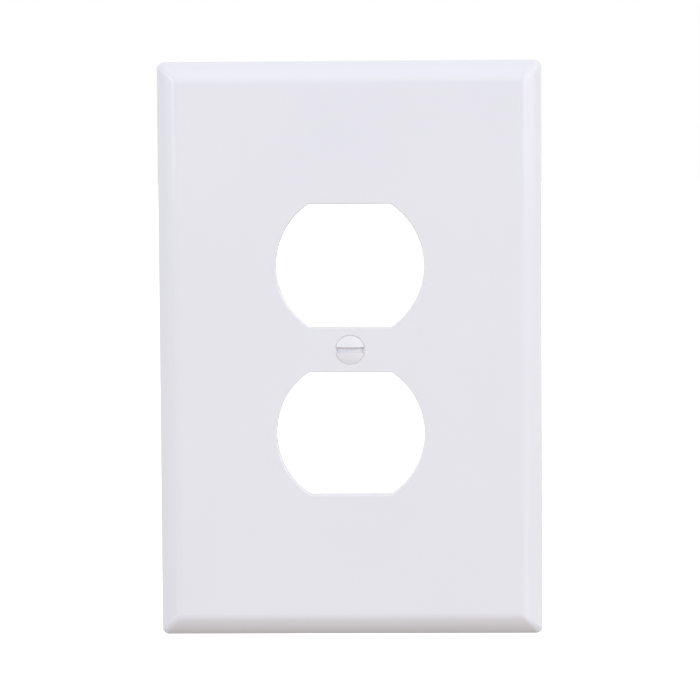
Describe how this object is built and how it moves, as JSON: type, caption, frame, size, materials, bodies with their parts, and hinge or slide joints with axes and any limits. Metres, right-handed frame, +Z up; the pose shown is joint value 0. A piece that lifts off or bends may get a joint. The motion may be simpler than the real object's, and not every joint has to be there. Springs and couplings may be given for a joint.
{
  "type": "duplex receptacle wall plate",
  "caption": "Oversize wall plate for a duplex receptacle, with a hollow ribbed back and a captive slotted mounting screw.",
  "frame": {"origin": "on the mounting screw's axis at the wall's surface, which is the plane of the plate's rim", "axes": "+Z up, +Y into the wall along the screw, +X to the right as seen from the room; the plate's face looks along -Y"},
  "size_m": [0.0888, 0.0133, 0.1334],
  "materials": {
    "plate_plastic": "moulded gloss white",
    "screw_paint": "white paint over steel",
    "retainer_fibre": "hard pressed fibre sheet"
  },
  "bodies": {
    "plate": {"wall_plate": "plate_plastic"},
    "retainer": {"screw_retainer": "retainer_fibre"},
    "screw": {"mounting_screw": "screw_paint"}
  },
  "joints": [
    {"name": "screw_slide", "type": "slide", "parent": "plate", "child": "retainer", "axis": [0, -1, 0], "range_m": [0, 0.00218]},
    {"name": "screw_turn", "type": "hinge", "parent": "retainer", "child": "screw", "pos_m": [0, 0, 0], "axis": [0, -1, 0], "range_deg": [0, 990]}
  ],
  "couplings": [
    {"joint": "screw_turn", "follows": "screw_slide", "rad_per_m": 7915.8}
  ]
}
